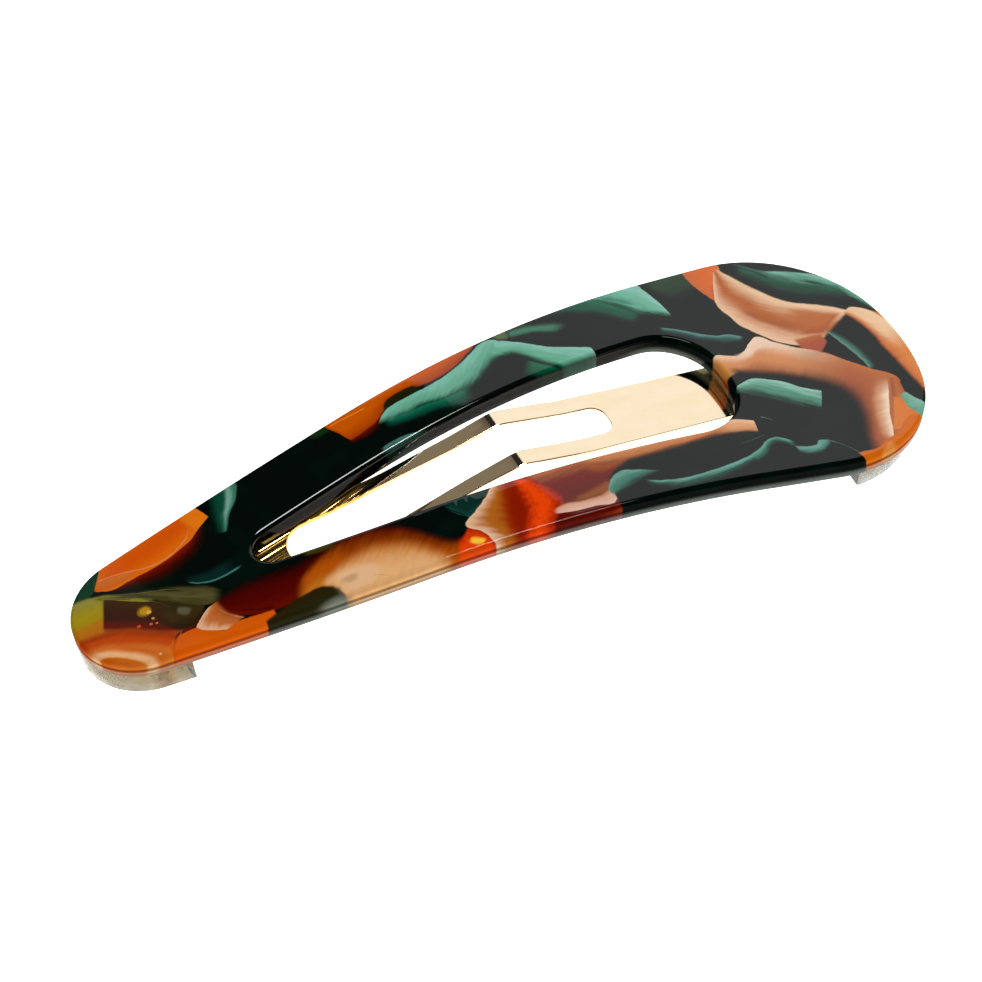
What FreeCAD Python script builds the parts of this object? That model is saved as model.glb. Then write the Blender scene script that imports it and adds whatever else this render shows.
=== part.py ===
import FreeCAD, Part
import math
import os

# Snap hair clip: a bent acetate plate with a teardrop window, a spring steel sheet glued under
# it, and a clear backing pad under each end. Millimetres, +Z up. The clip lies on its two pads.
# X runs along its length from the narrow end to the wide end, and Y across it. The origin is
# under the middle of its length, on the surface that it lies on.

# Driving dimensions of the plate. Outlines are drawn flat, with x from the narrow tip, and bent
# afterwards, the way the sheet is cut and then pressed.
plate_thickness = 1.8
plate_length = 85.0
# Each is a chain of tangent arcs: the narrow tip, a long side, the corner about the shoulder
# point, and the wide end.
plate_outline = {"start": 0.0, "end": plate_length, "tip": 6.5, "shoulder": (72.2, 1.9), "corner": 12.6,
                 "side": 630.0}
window_outline = {"start": 18.0, "end": 66.1, "tip": 1.85, "shoulder": (60.8, 1.3), "corner": 5.25,
                  "side": 375.0}

# The bend of the plate: two flat runs that meet at an angle, joined by one long arc.
bend_angle = 19.4
bend_radius = 94.5
narrow_run = 48.0
wide_run = 37.3

# The spring sheet: a closed frame and, inside it, the tongue.
sheet_thickness = 0.45
glue_gap = 0.03
frame_inset = 1.4
frame_opening = {"start": 12.0, "end": 72.8, "tip": 4.3, "shoulder": (64.6, 1.6), "corner": 6.8,
                 "side": 520.0}
frame_notch = {"start": 11.6, "end": 18.0, "half_width": 3.5}

# The tongue, drawn flat from its root. Each outline corner is (x, half width, radius). Its side
# view is a chain of runs, each with a length and a slope, joined by arcs of the given radii.
root_start = 11.7
tongue_edge = [(0.0, 3.2, 0.3), (13.0, 4.35, 6.0), (20.0, 3.6, 30.0), (28.0, 3.55, 30.0),
               (33.5, 3.75, 20.0), (58.3, 3.35, 2.6)]
slot_edge = [(9.4, 2.8, 2.6), (27.0, 1.95, 30.0), (42.4, 1.75, 1.3)]
tongue_runs = [13.87, 18.2, 6.8, 19.5]
tongue_slopes = [6.0, 13.0, -13.9, -9.3]
tongue_bend_radii = [20.0, 3.0, 20.0]

# The clear pads under the ends, and the pin that locates the sheet in the narrow one.
pad_thickness = 1.8
narrow_pad_end = 8.2
narrow_pad_inset = 0.0
wide_pad_start = 73.5
wide_pad_inset = 0.6
pin_place = 6.8
pin_radius = 0.55
pin_bite = 0.7
pin_clearance = 0.02

reach = 30.0


# Side views: paths in the XZ plane.
def make_path(start, slopes, runs, radii):
    """Pieces of a side view, each with its place along the path, its start point, slope and turn."""
    pieces = []
    x, z = start
    s = 0.0
    trim_before = 0.0
    for number, run in enumerate(runs):
        slope = math.radians(slopes[number])
        turn = math.radians(slopes[number + 1]) - slope if number < len(radii) else 0.0
        radius = radii[number] if number < len(radii) else 0.0
        trim_after = radius * math.tan(abs(turn) / 2)
        length = run - trim_before - trim_after
        pieces.append({"s": s, "length": length, "x": x, "z": z, "slope": slope, "turn": 0.0})
        x, z, s = x + length * math.cos(slope), z + length * math.sin(slope), s + length
        if turn:
            arc = radius * abs(turn)
            pieces.append({"s": s, "length": arc, "x": x, "z": z, "slope": slope, "turn": turn})
            chord = 2 * radius * math.sin(abs(turn) / 2)
            x, z = x + chord * math.cos(slope + turn / 2), z + chord * math.sin(slope + turn / 2)
            s += arc
        trim_before = trim_after
    return pieces


def on_path(path, s, y, height):
    """The point at a distance along the path, y across it and height above it."""
    piece = [p for p in path if p["s"] <= s + 1e-9][-1] if s > 0 else path[0]
    along = s - piece["s"]
    slope, turn = piece["slope"], piece["turn"]
    if turn:
        part_turn = turn * along / piece["length"]
        chord = 2 * piece["length"] / turn * math.sin(part_turn / 2)
        x = piece["x"] + chord * math.cos(slope + part_turn / 2)
        z = piece["z"] + chord * math.sin(slope + part_turn / 2)
        slope = slope + part_turn
    else:
        x = piece["x"] + along * math.cos(slope)
        z = piece["z"] + along * math.sin(slope)
    return FreeCAD.Vector(x - height * math.sin(slope), y, z + height * math.cos(slope))


# Flat outlines.
def teardrop(outline, inset=0.0):
    """Face inside a teardrop of tangent arcs, moved inwards by the inset."""
    tip, corner, side = outline["tip"], outline["corner"], outline["side"]
    tip_centre = FreeCAD.Vector(outline["start"] + tip, 0, 0)
    corner_centre = FreeCAD.Vector(*outline["shoulder"], 0)
    back = corner_centre.x - outline["end"]
    end = (corner ** 2 - back ** 2 - corner_centre.y ** 2) / (2 * (back + corner))
    end_centre = FreeCAD.Vector(outline["end"] - end, 0, 0)
    span = corner_centre - tip_centre
    along = ((side - tip) ** 2 - (side - corner) ** 2 + span.Length ** 2) / (2 * span.Length)
    below = math.sqrt((side - tip) ** 2 - along ** 2)
    ahead = FreeCAD.Vector(span).normalize()
    side_centre = tip_centre + ahead * along + FreeCAD.Vector(ahead.y, -ahead.x, 0) * below

    def touch(centre, radius, other):
        return centre + FreeCAD.Vector(centre - other).normalize() * (radius - inset)

    def arc(first, last, centre, radius):
        middle = centre + ((first + last) * 0.5 - centre).normalize() * (radius - inset)
        return Part.Arc(first, middle, last).toShape()

    tip_point = touch(tip_centre, tip, side_centre)
    side_point = touch(corner_centre, corner, side_centre)
    end_point = touch(corner_centre, corner, end_centre)
    upper = [arc(tip_point, side_point, side_centre, side),
             arc(side_point, end_point, corner_centre, corner)]
    lower = [edge.mirror(FreeCAD.Vector(), FreeCAD.Vector(0, 1, 0)) for edge in upper]
    start_point = FreeCAD.Vector(outline["start"] + inset, 0, 0)
    last_point = FreeCAD.Vector(outline["end"] - inset, 0, 0)
    tip_arc = Part.Arc(FreeCAD.Vector(tip_point.x, -tip_point.y, 0), start_point, tip_point).toShape()
    end_arc = Part.Arc(end_point, last_point, FreeCAD.Vector(end_point.x, -end_point.y, 0)).toShape()
    return Part.Face(Part.Wire(Part.__sortEdges__([tip_arc, end_arc] + upper + lower)))


def rounded_face(edge):
    """Face inside a symmetric outline with rounded corners, given as (x, half width, radius)."""
    corners = edge + [(x, -half_width, radius) for x, half_width, radius in reversed(edge)]
    points = [FreeCAD.Vector(x, y, 0) for x, y, radius in corners]
    edges = []
    ends = []
    for number, (x, y, radius) in enumerate(corners):
        corner = points[number]
        before = (points[number - 1] - corner).normalize()
        after = (points[(number + 1) % len(points)] - corner).normalize()
        half = before.getAngle(after) / 2
        trim = radius / math.tan(half)
        first, last = corner + before * trim, corner + after * trim
        middle = corner + (before + after).normalize() * (radius / math.sin(half) - radius)
        edges.append(Part.Arc(first, middle, last).toShape())
        ends.append((first, last))
    for number, (first, last) in enumerate(ends):
        edges.append(Part.makeLine(last, ends[(number + 1) % len(ends)][0]))
    return Part.Face(Part.Wire(Part.__sortEdges__(edges)))


def strip(start, end, half_width=reach):
    """Face between two cuts across the plate."""
    return Part.makePlane(end - start, 2 * half_width, FreeCAD.Vector(start, -half_width, 0))


# Bending a flat face along a path.
def bend_face(face, path, top, bottom):
    """Solid over a flat face, bent along the path, between two heights above it."""
    solids = []
    for piece in path:
        start, end = piece["s"], piece["s"] + piece["length"]
        if piece is path[0]:
            start -= reach
        if piece is path[-1]:
            end += reach
        if piece["turn"]:
            solids += bent_stretch(face, path, piece, top, bottom)
            continue
        for region in face.common(strip(start, end)).Faces:
            flat = region.extrude(FreeCAD.Vector(0, 0, top - bottom))
            flat.translate(FreeCAD.Vector(-piece["s"], 0, bottom))
            tilt = FreeCAD.Rotation(FreeCAD.Vector(0, 1, 0), -math.degrees(piece["slope"]))
            seat = FreeCAD.Placement(FreeCAD.Vector(piece["x"], 0, piece["z"]), tilt)
            flat.Placement = seat.multiply(flat.Placement)
            solids.append(flat)
    return solids[0].multiFuse(solids[1:]).removeSplitter().Solids[0]


def bent_stretch(face, path, piece, top, bottom, stations=5):
    """Solids over the part of a flat face that lies on an arc of the path."""
    sections = []
    for number in range(stations):
        s = piece["s"] + piece["length"] * number / (stations - 1)
        across = face.common(Part.makeLine(FreeCAD.Vector(s, -reach, 0), FreeCAD.Vector(s, reach, 0)))
        spans = sorted((edge.BoundBox.YMin, edge.BoundBox.YMax) for edge in across.Edges)
        wires = []
        for low, high in spans:
            around = ((low, bottom), (high, bottom), (high, top), (low, top))
            corners = [on_path(path, s, y, height) for y, height in around]
            wires.append(Part.makePolygon(corners + corners[:1]))
        sections.append(wires)
    return [Part.makeLoft(list(wires), True, False) for wires in zip(*sections)]


# The plate's own path is first laid out level, then turned so that both pads' outer edges touch
# the surface, and moved so that the origin lies under its middle.
sheet_top = -plate_thickness - glue_gap
sheet_bottom = sheet_top - sheet_thickness
pad_top = sheet_bottom - glue_gap
pad_bottom = pad_top - pad_thickness


def plate_path(start, slope):
    return make_path(start, [slope, slope - bend_angle], [narrow_run, wide_run], [bend_radius])


level = plate_path((0.0, 0.0), 0.0)
foot_span = (on_path(level, plate_length - wide_pad_inset, 0, pad_bottom)
             - on_path(level, narrow_pad_inset, 0, pad_bottom))
narrow_slope = -math.degrees(math.atan2(foot_span.z, foot_span.x))
turned = plate_path((0.0, 0.0), narrow_slope)
middle_x = (on_path(turned, 0, 0, 0).x + on_path(turned, plate_length, 0, 0).x) / 2
path = plate_path((-middle_x, -on_path(turned, narrow_pad_inset, 0, pad_bottom).z), narrow_slope)

# The tongue leaves the sheet at its root. Its slopes are given for the clip as it lies.
root = on_path(path, root_start, 0, sheet_top)
tongue_path = make_path((root.x, root.z), tongue_slopes, tongue_runs, tongue_bend_radii)
hinge = on_path(tongue_path, 0, 0, -sheet_thickness)


def pin(radius, high, low):
    """Cylinder through the sheet near the narrow tip, square to the plate."""
    top_point, low_point = on_path(path, pin_place, 0, high), on_path(path, pin_place, 0, low)
    return Part.makeCylinder(radius, high - low, low_point, top_point - low_point)


def build_plate():
    plate = bend_face(teardrop(plate_outline).cut(teardrop(window_outline)), path, 0.0, -plate_thickness)
    return plate.cut(pin(pin_radius + pin_clearance, -plate_thickness + pin_bite, pad_bottom)).Solids[0]


def build_frame():
    face = teardrop(plate_outline, frame_inset).cut(teardrop(frame_opening))
    face = face.cut(strip(frame_notch["start"], frame_notch["end"], frame_notch["half_width"]))
    frame = bend_face(face, path, sheet_top, sheet_bottom)
    return frame.cut(pin(pin_radius + pin_clearance, 0.0, pad_bottom)).Solids[0]


def build_tongue():
    face = rounded_face(tongue_edge).cut(rounded_face(slot_edge))
    return bend_face(face, tongue_path, 0.0, -sheet_thickness)


def build_narrow_pad():
    face = teardrop(plate_outline, narrow_pad_inset).common(strip(0.0, narrow_pad_end))
    pad = bend_face(face, path, pad_top, pad_bottom)
    return pad.cut(pin(pin_radius + pin_clearance, 0.0, pad_top - pin_bite)).Solids[0]


def build_wide_pad():
    face = teardrop(plate_outline, wide_pad_inset).common(strip(wide_pad_start, plate_length))
    return bend_face(face, path, pad_top, pad_bottom)


def build_pin():
    return pin(pin_radius, -plate_thickness + pin_bite - pin_clearance, pad_top - pin_bite + pin_clearance)


parts = {
    "acetate_plate": build_plate(),
    "spring_frame": build_frame(),
    "spring_tongue": build_tongue(),
    "narrow_pad": build_narrow_pad(),
    "wide_pad": build_wide_pad(),
    "locating_pin": build_pin(),
}

os.makedirs("parts", exist_ok=True)
for name, shape in parts.items():
    shape.exportStep("parts/" + name + ".step")
    box = shape.BoundBox
    print(name, "valid", shape.isValid(), "volume %.1f" % shape.Volume, "z from %.2f" % box.ZMin,
          "size %.2f x %.2f x %.2f" % (box.XLength, box.YLength, box.ZLength))
print("hinge line at x %.3f z %.3f" % (hinge.x, hinge.z), "narrow slope %.3f" % narrow_slope)
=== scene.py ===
import math
import bpy
import bmesh
from mathutils import Matrix, Vector


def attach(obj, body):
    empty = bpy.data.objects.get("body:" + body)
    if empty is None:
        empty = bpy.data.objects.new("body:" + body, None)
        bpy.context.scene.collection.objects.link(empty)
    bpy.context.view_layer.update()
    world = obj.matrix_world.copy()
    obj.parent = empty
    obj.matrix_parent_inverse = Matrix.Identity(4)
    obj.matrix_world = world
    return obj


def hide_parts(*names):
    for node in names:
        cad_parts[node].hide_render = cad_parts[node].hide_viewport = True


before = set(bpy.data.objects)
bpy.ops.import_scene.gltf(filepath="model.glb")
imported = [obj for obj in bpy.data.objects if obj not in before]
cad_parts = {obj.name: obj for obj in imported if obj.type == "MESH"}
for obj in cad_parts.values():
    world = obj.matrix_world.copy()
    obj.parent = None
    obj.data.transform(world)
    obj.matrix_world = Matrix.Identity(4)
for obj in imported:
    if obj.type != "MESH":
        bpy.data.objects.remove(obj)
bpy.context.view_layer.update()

scene = bpy.context.scene
mm = 0.001               # everything below is worked out in millimetres and scaled once at the end


# bending and drawing helpers, in millimetres

weld = 0.01              # points closer than this become one
hair = 1e-5              # cuts this close to a point go through it
arcSteps = {"tip": 12, "side": 44, "corner": 18, "end": 16}


def layPath(start, slopes, runs, radii):
    # a side view: straight runs joined by arcs, as (distance, x, z, slope, length, turn)
    pieces = []
    x, z = start
    s = before = 0.0
    for number, run in enumerate(runs):
        slope = math.radians(slopes[number])
        hasArc = number < len(radii)
        turn = math.radians(slopes[number + 1]) - slope if hasArc else 0.0
        radius = radii[number] if hasArc else 0.0
        after = radius * math.tan(abs(turn) / 2)
        length = run - before - after
        pieces.append((s, x, z, slope, length, 0.0))
        x, z, s = x + length * math.cos(slope), z + length * math.sin(slope), s + length
        if hasArc:
            arc = radius * abs(turn)
            pieces.append((s, x, z, slope, arc, turn))
            chord = 2 * radius * math.sin(abs(turn) / 2)
            x, z = x + chord * math.cos(slope + turn / 2), z + chord * math.sin(slope + turn / 2)
            s += arc
        before = after
    return pieces


def onPath(path, s, height):
    # the point at this distance along the path and this height above it
    passed = [piece for piece in path if piece[0] <= s + 1e-6] if s > 0 else path[:1]
    startS, x, z, slope, length, turn = passed[-1]
    along = s - startS
    if turn:
        partTurn = turn * along / length
        chord = 2 * length / turn * math.sin(partTurn / 2)
        x, z = x + chord * math.cos(slope + partTurn / 2), z + chord * math.sin(slope + partTurn / 2)
        slope += partTurn
    else:
        x, z = x + along * math.cos(slope), z + along * math.sin(slope)
    return x - height * math.sin(slope), z + height * math.cos(slope)


def cutStations(bm, path, step):
    # cuts across the flat shape wherever the path turns, so that it bends evenly
    for startS, x, z, slope, length, turn in path:
        if not turn:
            continue
        count = max(2, round(length / step))
        for number in range(count + 1):
            place = startS + length * number / count
            bmesh.ops.bisect_plane(bm, geom=bm.verts[:] + bm.edges[:] + bm.faces[:], dist=hair,
                                   plane_co=(place, 0, 0), plane_no=(1, 0, 0))


def bendAlong(bm, path):
    for vert in bm.verts:
        x, z = onPath(path, vert.co.x, vert.co.z)
        vert.co = Vector((x, vert.co.y, z))


def spinOn(bm, vert, centre, target, steps, sweep):
    # carries the end of a line round a centre until it faces the target, sweeping +1 or -1
    first = math.atan2(vert.co.y - centre.y, vert.co.x - centre.x)
    last = math.atan2(target.y - centre.y, target.x - centre.x)
    angle = (last - first) % (2 * math.pi)
    if sweep < 0:
        angle -= 2 * math.pi
    done = bmesh.ops.spin(bm, geom=[vert], cent=centre, axis=(0, 0, 1), dvec=(0, 0, 0), angle=angle,
                          steps=steps, use_merge=False, use_duplicate=False)
    return [part for part in done["geom_last"] if isinstance(part, bmesh.types.BMVert)][0]


def lineTo(bm, vert, target):
    done = bmesh.ops.extrude_vert_indiv(bm, verts=[vert])
    done["verts"][0].co = target
    return done["verts"][0]


def dropCentres(drop):
    # centres of the tangent arcs of a teardrop: tip, long side, shoulder corner, wide end
    tip, corner, side = drop["tip"], drop["corner"], drop["side"]
    tipCentre = Vector((drop["start"] + tip, 0, 0))
    cornerCentre = Vector((drop["shoulder"][0], drop["shoulder"][1], 0))
    back = cornerCentre.x - drop["end"]
    endRadius = (corner ** 2 - back ** 2 - cornerCentre.y ** 2) / (2 * (back + corner))
    endCentre = Vector((drop["end"] - endRadius, 0, 0))
    span = cornerCentre - tipCentre
    along = ((side - tip) ** 2 - (side - corner) ** 2 + span.length ** 2) / (2 * span.length)
    below = math.sqrt((side - tip) ** 2 - along ** 2)
    ahead = span.normalized()
    sideCentre = tipCentre + ahead * along + Vector((ahead.y, -ahead.x, 0)) * below
    return tipCentre, sideCentre, cornerCentre, endCentre


def drawDrop(bm, drop, inset=0.0, notch=None):
    # a closed teardrop outline: spun arcs, clockwise from its narrow tip
    tipCentre, sideCentre, cornerCentre, endCentre = dropCentres(drop)
    flip = lambda v: Vector((v.x, -v.y, 0))
    reach = lambda centre, other, radius: centre + (centre - other).normalized() * (radius - inset)
    tipPoint = reach(tipCentre, sideCentre, drop["tip"])
    sidePoint = reach(cornerCentre, sideCentre, drop["corner"])
    endPoint = reach(cornerCentre, endCentre, drop["corner"])
    older = set(bm.edges)
    if notch:
        first = bmesh.ops.create_vert(bm, co=(notch["start"], -notch["halfWidth"], 0))["vert"][0]
        across = math.sqrt(drop["tip"] ** 2 - notch["halfWidth"] ** 2)
        corner = Vector((tipCentre.x - across, notch["halfWidth"], 0))
        vert = lineTo(bm, first, Vector((notch["start"], notch["halfWidth"], 0)))
        vert = lineTo(bm, vert, corner)
    else:
        first = bmesh.ops.create_vert(bm, co=(drop["start"] + inset, 0, 0))["vert"][0]
        vert = first
    vert = spinOn(bm, vert, tipCentre, tipPoint, arcSteps["tip"], -1)
    vert = spinOn(bm, vert, sideCentre, sidePoint, arcSteps["side"], -1)
    vert = spinOn(bm, vert, cornerCentre, endPoint, arcSteps["corner"], -1)
    vert = spinOn(bm, vert, endCentre, flip(endPoint), arcSteps["end"], -1)
    vert = spinOn(bm, vert, flip(cornerCentre), flip(sidePoint), arcSteps["corner"], -1)
    vert = spinOn(bm, vert, flip(sideCentre), flip(tipPoint), arcSteps["side"], -1)
    if notch:
        vert = spinOn(bm, vert, tipCentre, flip(corner), arcSteps["tip"], -1)
        lineTo(bm, vert, first.co)
    else:
        spinOn(bm, vert, tipCentre, Vector((drop["start"], 0, 0)), arcSteps["tip"], -1)
    bmesh.ops.remove_doubles(bm, verts=bm.verts[:], dist=weld)
    return [edge for edge in bm.edges if edge not in older]


def drawRounded(bm, corners, steps=8):
    # a closed symmetric outline with rounded corners, each (x, half width, radius)
    outline = corners + [(x, -half, radius) for x, half, radius in reversed(corners)]
    points = [Vector((x, y, 0)) for x, y, radius in outline]
    older = set(bm.edges)
    first = vert = None
    for number, (x, y, radius) in enumerate(outline):
        point = points[number]
        before = (points[number - 1] - point).normalized()
        after = (points[(number + 1) % len(points)] - point).normalized()
        half = before.angle(after) / 2
        trim = radius / math.tan(half)
        centre = point + (before + after).normalized() * (radius / math.sin(half))
        start, end = point + before * trim, point + after * trim
        if vert is None:
            first = vert = bmesh.ops.create_vert(bm, co=start)["vert"][0]
        else:
            vert = lineTo(bm, vert, start)
        sweep = 1 if before.cross(after).z < 0 else -1
        vert = spinOn(bm, vert, centre, end, steps, sweep)
    lineTo(bm, vert, first.co)
    bmesh.ops.remove_doubles(bm, verts=bm.verts[:], dist=weld)
    return [edge for edge in bm.edges if edge not in older]


def fillRing(bm, edges):
    # fills between two loops, then joins the triangles so that the rims bevel evenly
    filled = bmesh.ops.triangle_fill(bm, edges=edges, normal=(0, 0, 1))
    inner = [part for part in filled["geom"] if isinstance(part, bmesh.types.BMEdge)
             and len(part.link_faces) == 2]
    bmesh.ops.dissolve_limit(bm, angle_limit=0.02, verts=[], edges=inner)


def thicken(bm, top, bottom, rims, segments, rimAngle=60):
    # gives a flat face its thickness and rounds its rims, (top, bottom)
    for vert in bm.verts:
        vert.co.z = top
    done = bmesh.ops.extrude_face_region(bm, geom=bm.faces[:])
    lowered = [part for part in done["geom"] if isinstance(part, bmesh.types.BMVert)]
    bmesh.ops.translate(bm, verts=lowered, vec=(0, 0, bottom - top))
    bmesh.ops.recalc_face_normals(bm, faces=bm.faces[:])
    for height, rim in zip((top, bottom), rims):
        edges = [edge for edge in bm.edges
                 if len(edge.link_faces) == 2 and edge.calc_face_angle() > math.radians(rimAngle)
                 and all(abs(vert.co.z - height) < 1e-4 for vert in edge.verts)]
        bmesh.ops.bevel(bm, geom=edges, offset=rim, offset_type="OFFSET", segments=segments,
                        profile=0.5, affect="EDGES", clamp_overlap=False, material=-1)


def finishPiece(bm, name, material, body, node, sharpAngle=None):
    bmesh.ops.recalc_face_normals(bm, faces=bm.faces[:])
    bmesh.ops.scale(bm, vec=(mm, mm, mm), verts=bm.verts[:])
    mesh = bpy.data.meshes.new(name)
    bm.to_mesh(mesh)
    bm.free()
    for face in mesh.polygons:
        face.use_smooth = True
    piece = bpy.data.objects.new(name, mesh)
    scene.collection.objects.link(piece)
    mesh.materials.append(material)
    if sharpAngle:
        mesh.set_sharp_from_angle(angle=math.radians(sharpAngle))
    else:
        evenShade = piece.modifiers.new("evenShade", "WEIGHTED_NORMAL")
        evenShade.weight = 100
    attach(piece, body)
    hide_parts(node)
    print("made", name, len(mesh.polygons), "faces")


# material helpers


def hexColor(code):
    values = [int(code[i:i + 2], 16) / 255 for i in (0, 2, 4)]
    return [v / 12.92 if v <= 0.04045 else ((v + 0.055) / 1.055) ** 2.4 for v in values] + [1.0]


class NodeDesk:
    # adds and wires nodes in one tree, left to right
    def __init__(self, tree):
        self.tree = tree
        self.column = 0

    def feed(self, node, inputs):
        for key, value in inputs.items():
            if isinstance(value, bpy.types.NodeSocket):
                self.tree.links.new(value, node.inputs[key])
            else:
                node.inputs[key].default_value = value

    def add(self, kind, inputs=None, **settings):
        node = self.tree.nodes.new(kind)
        node.location = (180 * (self.column % 40), -260 * (self.column // 40))
        self.column += 1
        for name, value in settings.items():
            setattr(node, name, value)
        self.feed(node, inputs or {})
        return node

    def math(self, operation, a, b=0.0):
        return self.add("ShaderNodeMath", {0: a, 1: b}, operation=operation).outputs[0]

    def vector(self, operation, inputs):
        return self.add("ShaderNodeVectorMath", inputs, operation=operation).outputs[0]

    def ramp(self, value, low, high, start=0.0, end=1.0, smooth=True):
        # a smooth step stays in range by itself, and unclamped it takes less of the shader's memory
        kind = "SMOOTHSTEP" if smooth else "LINEAR"
        inputs = {"Value": value, "From Min": low, "From Max": high, "To Min": start, "To Max": end}
        return self.add("ShaderNodeMapRange", inputs, interpolation_type=kind, clamp=not smooth).outputs[0]

    def blend(self, factor, a, b):
        return self.add("ShaderNodeMapRange", {"Value": factor, "To Min": a, "To Max": b}).outputs[0]

    def mix(self, factor, a, b, blend="MIX"):
        inputs = {0: factor, 6: a, 7: b}
        return self.add("ShaderNodeMix", inputs, data_type="RGBA", blend_type=blend).outputs[2]

    def noise(self, vector, scale, detail, roughness=0.5):
        return self.add("ShaderNodeTexNoise", {"Vector": vector, "Scale": scale, "Detail": detail,
                                               "Roughness": roughness}).outputs

    def mapped(self, vector, turn=0.0, scale=(1.0, 1.0, 1.0)):
        return self.add("ShaderNodeMapping", {"Vector": vector, "Rotation": (0, 0, math.radians(turn)),
                                              "Scale": scale}).outputs[0]

    def bump(self, height, strength, distance, **more):
        return self.add("ShaderNodeBump", {"Strength": strength, "Distance": distance, "Height": height,
                                           **more}).outputs[0]

    def curve(self, value, points, clamped=False):
        node = self.add("ShaderNodeFloatCurve", {"Value": value})
        knots = node.mapping.curves[0].points
        while len(knots) < len(points):
            knots.new(0.5, 0.5)
        for knot, place in zip(knots, points):
            knot.location = place
            if clamped:
                knot.handle_type = "AUTO_CLAMPED"
        node.mapping.update()
        return node.outputs[0]


def newMaterial(name):
    material = bpy.data.materials.new(name)
    material.use_nodes = True
    material.node_tree.nodes.clear()
    desk = NodeDesk(material.node_tree)
    out = desk.add("ShaderNodeOutputMaterial")
    shader = desk.add("ShaderNodeBsdfPrincipled")
    desk.tree.links.new(shader.outputs[0], out.inputs[0])
    return material, desk, shader


def inMillimetres(desk):
    place = desk.add("ShaderNodeTexCoord").outputs["Object"]
    return desk.vector("SCALE", {0: place, "Scale": 1 / mm})


# one flake of coloured acetate laid over what is under it

flakeReach = 20.0        # millimetres across a flake's axis that its gradient and curves cover
flakeLead = 0.1          # how far they run past each end, in flake lengths
flakeSpan = 1 + 2 * flakeLead
streakShift = 0.6        # millimetres that a streak moves side b
streakShine = 0.55       # how much a streak lightens or darkens


def makeFlakeGroup():
    group = bpy.data.node_groups.new("flake", "ShaderNodeTree")
    sockets = (("Under", "Color"), ("Along", "Float"), ("Across", "Float"), ("Edge A", "Float"),
               ("Edge B", "Float"), ("Blur A", "Float"), ("Blur B", "Float"), ("Blur Start", "Float"),
               ("Blur End", "Float"), ("Color A", "Color"), ("Core Color", "Color"), ("Color B", "Color"),
               ("Streaks", "Float"), ("Streak Depth", "Float"), ("Cover", "Float"))
    for name, kind in sockets:
        group.interface.new_socket(name, in_out="INPUT", socket_type="NodeSocket" + kind)
    group.interface.new_socket("Color", in_out="OUTPUT", socket_type="NodeSocketColor")
    desk = NodeDesk(group)
    given = desk.add("NodeGroupInput").outputs
    along = desk.math("MULTIPLY", desk.math("SUBTRACT", given["Along"], flakeLead / flakeSpan), flakeSpan)
    fromA = desk.math("MULTIPLY", desk.math("SUBTRACT", given["Edge A"], given["Across"]), flakeReach)
    fromB = desk.math("MULTIPLY", desk.math("SUBTRACT", given["Across"], given["Edge B"]), flakeReach)
    streak = desk.math("MULTIPLY", desk.math("SUBTRACT", given["Streaks"], 0.5), given["Streak Depth"])
    fromB = desk.math("ADD", fromB, desk.math("MULTIPLY", streak, streakShift))
    sides = desk.math("MULTIPLY", desk.ramp(fromA, 0.0, given["Blur A"]),
                      desk.ramp(fromB, 0.0, given["Blur B"]))
    ends = desk.math("MULTIPLY", desk.ramp(along, 0.0, given["Blur Start"]),
                     desk.ramp(desk.math("SUBTRACT", 1.0, along), 0.0, given["Blur End"]))
    mask = desk.math("MULTIPLY", desk.math("MULTIPLY", sides, ends), given["Cover"])
    width = desk.math("MAXIMUM", desk.math("ADD", fromA, fromB), 0.01)
    across = desk.math("ADD", desk.math("DIVIDE", fromB, width), streak)
    color = desk.mix(desk.ramp(across, 0.0, 0.5), given["Color B"], given["Core Color"])
    color = desk.mix(desk.ramp(across, 0.5, 1.0), color, given["Color A"])
    bright = desk.math("ADD", desk.math("MULTIPLY", streak, streakShine), 1.0)
    lit = desk.add("ShaderNodeHueSaturation", {"Color": color, "Value": bright}).outputs[0]
    out = desk.add("NodeGroupOutput")
    group.links.new(desk.mix(mask, given["Under"], lit), out.inputs[0])
    return group


def spread(desk, place, start, turn, length):
    # a straight gradient from the start point, in the direction turned to
    laid = desk.add("ShaderNodeMapping", {"Vector": place, "Location": (start.x, start.y, 0),
                                          "Rotation": (0, 0, turn), "Scale": (length, 1, 1)},
                    vector_type="TEXTURE")
    return desk.add("ShaderNodeTexGradient", {"Vector": laid.outputs[0]}).outputs["Fac"]


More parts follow.
